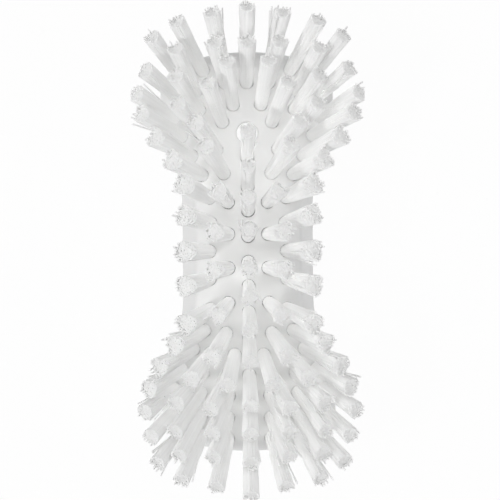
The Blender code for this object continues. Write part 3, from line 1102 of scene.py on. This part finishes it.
# %% [markdown]
# ## Finishes
# Three materials: moulded plastic, filament and plated wire. An effect that more
# than one of them uses is a node group. The plastic has a very fine grain from its
# mould and a slow change of tone and gloss. The filament differs from strand to
# strand. Its colour also holds painted shade and painted light: it is painted dark
# down in the holes, where shade falls, a trace darker on its cut ends, which face the
# light more than its sides, and paler towards the foot, to lift the shade there.

# %% A node group for fine grain
usual_grain = 1500.0
tone_coarseness = 30.0
grain_detail = 2.0
tone_detail = 3.0


def grain_group():
    """Return a group that gives a grain: its height, and a slow tone from 0 to 1.

    The height is noise at the grain's scale. The tone is noise thirty times larger.
    """
    group = bpy.data.node_groups.new("moulded_grain", "ShaderNodeTree")
    number = "NodeSocketFloat"
    scale = group.interface.new_socket("Grain per metre", in_out="INPUT", socket_type=number)
    scale.default_value = usual_grain
    for name in ("Height", "Tone"):
        group.interface.new_socket(name, in_out="OUTPUT", socket_type=number)
    scale = group.nodes.new("NodeGroupInput").outputs["Grain per metre"]
    end = group.nodes.new("NodeGroupOutput")
    place = add_node(group, "ShaderNodeTexCoord").outputs["Object"]
    slower = calculate(group, "DIVIDE", scale, tone_coarseness)
    layers = (("Height", scale, grain_detail), ("Tone", slower, tone_detail))
    for name, noise_scale, detail in layers:
        noise = add_node(group, "ShaderNodeTexNoise")
        link(group, place, noise.inputs["Vector"])
        link(group, noise_scale, noise.inputs["Scale"])
        noise.inputs["Detail"].default_value = detail
        link(group, noise.outputs["Fac"], end.inputs[name])
    return group


moulded_grain = grain_group()

# %% Materials
plastic_tones = (0.9, 0.9, 0.896), (0.93, 0.93, 0.926)
filament_tones = (0.87, 0.87, 0.868), (0.95, 0.95, 0.948)
wire_tones = (0.55, 0.55, 0.53), (0.68, 0.68, 0.66)
# Painted light: the filament is paler towards the foot, lifting the shade that falls between
# the strands there.
painted_root_light = (0.998, 0.998, 0.997)
root_share = 0.95
# Painted shade: the filament is made dark down in the hole, where shade falls.
painted_hole_shade = (0.3, 0.3, 0.3)
# Painted shade: the cut ends are a trace darker, since they face the overhead light more than
# the sides.
painted_cut_shade = (0.975, 0.975, 0.975)
shade_reach = 2.0


def between(tree, value, low, high, start=0.0, end=1.0):
    """Return an output that maps a value from start..end to low..high."""
    node = add_node(tree, "ShaderNodeMapRange")
    link(tree, value, node.inputs["Value"])
    node.inputs["From Min"].default_value = start
    node.inputs["From Max"].default_value = end
    node.inputs["To Min"].default_value = low
    node.inputs["To Max"].default_value = high
    return node.outputs["Result"]


def mixed(tree, share, first, second, kind="MIX"):
    """Return a colour between two colours, by a share from 0 to 1.

    The first is a plain colour or a socket. The kind MULTIPLY tints it instead.
    """
    node = add_node(tree, "ShaderNodeMix", data_type="RGBA", blend_type=kind)
    link(tree, share, node.inputs["Factor"])
    feed(tree, (*first, 1.0) if isinstance(first, tuple) else first, node.inputs["A"])
    node.inputs["B"].default_value = (*second, 1.0)
    return node.outputs["Result"]


def grained_material(name, roughness, grain_per_metre, gloss, depth):
    """Return a material with a fine grain, its tree, its shader and its slow tone.

    The gloss is the roughness at both ends of the tone, and the plain roughness is a
    stand-in for it. The grain's height goes into the normal, as a depth in metres.
    """
    material = bpy.data.materials.new(name)
    material.use_nodes = True
    tree = material.node_tree
    shader = tree.nodes["Principled BSDF"]
    shader.inputs["Roughness"].default_value = roughness
    grain = add_node(tree, "ShaderNodeGroup", node_tree=moulded_grain)
    grain.inputs["Grain per metre"].default_value = grain_per_metre
    tone = grain.outputs["Tone"]
    link(tree, between(tree, tone, *gloss), shader.inputs["Roughness"])
    bump = add_node(tree, "ShaderNodeBump")
    bump.inputs["Strength"].default_value = 1.0
    bump.inputs["Distance"].default_value = depth
    link(tree, grain.outputs["Height"], bump.inputs["Height"])
    link(tree, bump.outputs["Normal"], shader.inputs["Normal"])
    return material, tree, shader, tone


def block_material():
    """Return white moulded plastic with a fine grain and a slow change of tone."""
    material, tree, shader, tone = grained_material(
        "moulded_plastic", 0.42, grain_per_metre=2200.0, gloss=(0.26, 0.4), depth=0.00003
    )
    link(tree, mixed(tree, tone, *plastic_tones), shader.inputs["Base Color"])
    return material


def filament_material():
    """Return stiff white filament, with a tone of its own for each strand.

    It has painted light that makes it paler towards the foot, lifting the shade that
    falls between the many strands there. Down in the hole it has painted shade, and the
    cut ends have a trace of painted shade, as they face the light more than the sides.
    """
    material, tree, shader, _ = grained_material(
        "stiff_filament", 0.45, grain_per_metre=3000.0, gloss=(0.38, 0.52), depth=0.000004
    )
    shader.inputs["Diffuse Roughness"].default_value = 1.0
    shade = add_node(tree, "ShaderNodeAttribute", attribute_name="shade").outputs["Fac"]
    way = add_node(tree, "ShaderNodeAttribute", attribute_name="way").outputs["Fac"]
    share = between(tree, shade, 0.0, 1.0, start=-shade_reach, end=shade_reach)
    tone = mixed(tree, share, *filament_tones)
    # Painted light: paler towards the foot, to lift the shade between the strands.
    tone = mixed(tree, between(tree, way, root_share, 0.0), tone, painted_root_light)
    # Painted shade down in the hole, below the mouth.
    sunk = between(tree, way, 0.0, 1.0, start=mouth_way, end=dark_way)
    tone = mixed(tree, sunk, tone, painted_hole_shade, "MULTIPLY")
    # Painted shade on the cut ends, which catch more light than the sides.
    cut = between(tree, way, 0.0, 1.0, start=cut_way, end=1.0)
    tone = mixed(tree, cut, tone, painted_cut_shade, "MULTIPLY")
    link(tree, tone, shader.inputs["Base Color"])
    return material


def wire_material():
    """Return plated wire for the anchors."""
    material, tree, shader, tone = grained_material(
        "plated_wire", 0.35, grain_per_metre=4000.0, gloss=(0.28, 0.45), depth=0.00001
    )
    shader.inputs["Metallic"].default_value = 1.0
    link(tree, mixed(tree, tone, *wire_tones), shader.inputs["Base Color"])
    return material


# %% Dress the pieces and tie them to the frame
block.data.materials.append(block_material())
anchors.data.materials.append(wire_material())
filament = filament_material()
row_nodes = sorted(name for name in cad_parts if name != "brush_block")
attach(block, "root")
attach(anchors, "root")
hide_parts("brush_block", *row_nodes)
for group, piece in bristles.items():
    piece.data.materials.append(filament)
    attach(piece, "root")
    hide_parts(f"row_{group}")

# %% [markdown]
# ## Light for the tufts alone
# Real filament is slightly clear. Light passes through a tuft and from one tuft to
# the next, so that all of them are pale on every side and throw only soft shadows.
#
# A shader that lets light through comes out dark on thin tubes, because they hold many
# walls. So four lamps round the brush stand for that light. Light linking lets them
# light the bristles alone, with nothing but the hidden anchors in their way. The
# lamp under the floor lights the block in the same manner, for a look at its back.

# %% Tie lamps to what they light


def listed(name, pieces):
    """Return a collection of pieces for light linking, outside the scene."""
    collection = bpy.data.collections.new(name)
    for piece in pieces:
        collection.objects.link(piece)
    return collection


lit_through = listed("lit_through", bristles.values())
in_the_way = listed("in_the_way", [anchors])
lit_below = listed("lit_below", [block])
for name, lamp in lamps.items():
    lit = {"tuft": lit_through, "under": lit_below}.get(name.split("_")[0])
    if lit:
        lamp.light_linking.receiver_collection = lit
        lamp.light_linking.blocker_collection = in_the_way

# %% [markdown]
# ## Last measures
# The sizes of the finished model are printed as shares of the CAD model's sides. The
# finished model has to stay in the CAD model's box, apart from 3% of each side.

# %% Print the sizes
new_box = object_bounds()
old_sides, new_sides = cad_box[1] - cad_box[0], new_box[1] - new_box[0]
print("size ratio:", [round(new / old, 4) for old, new in zip(old_sides, new_sides)])
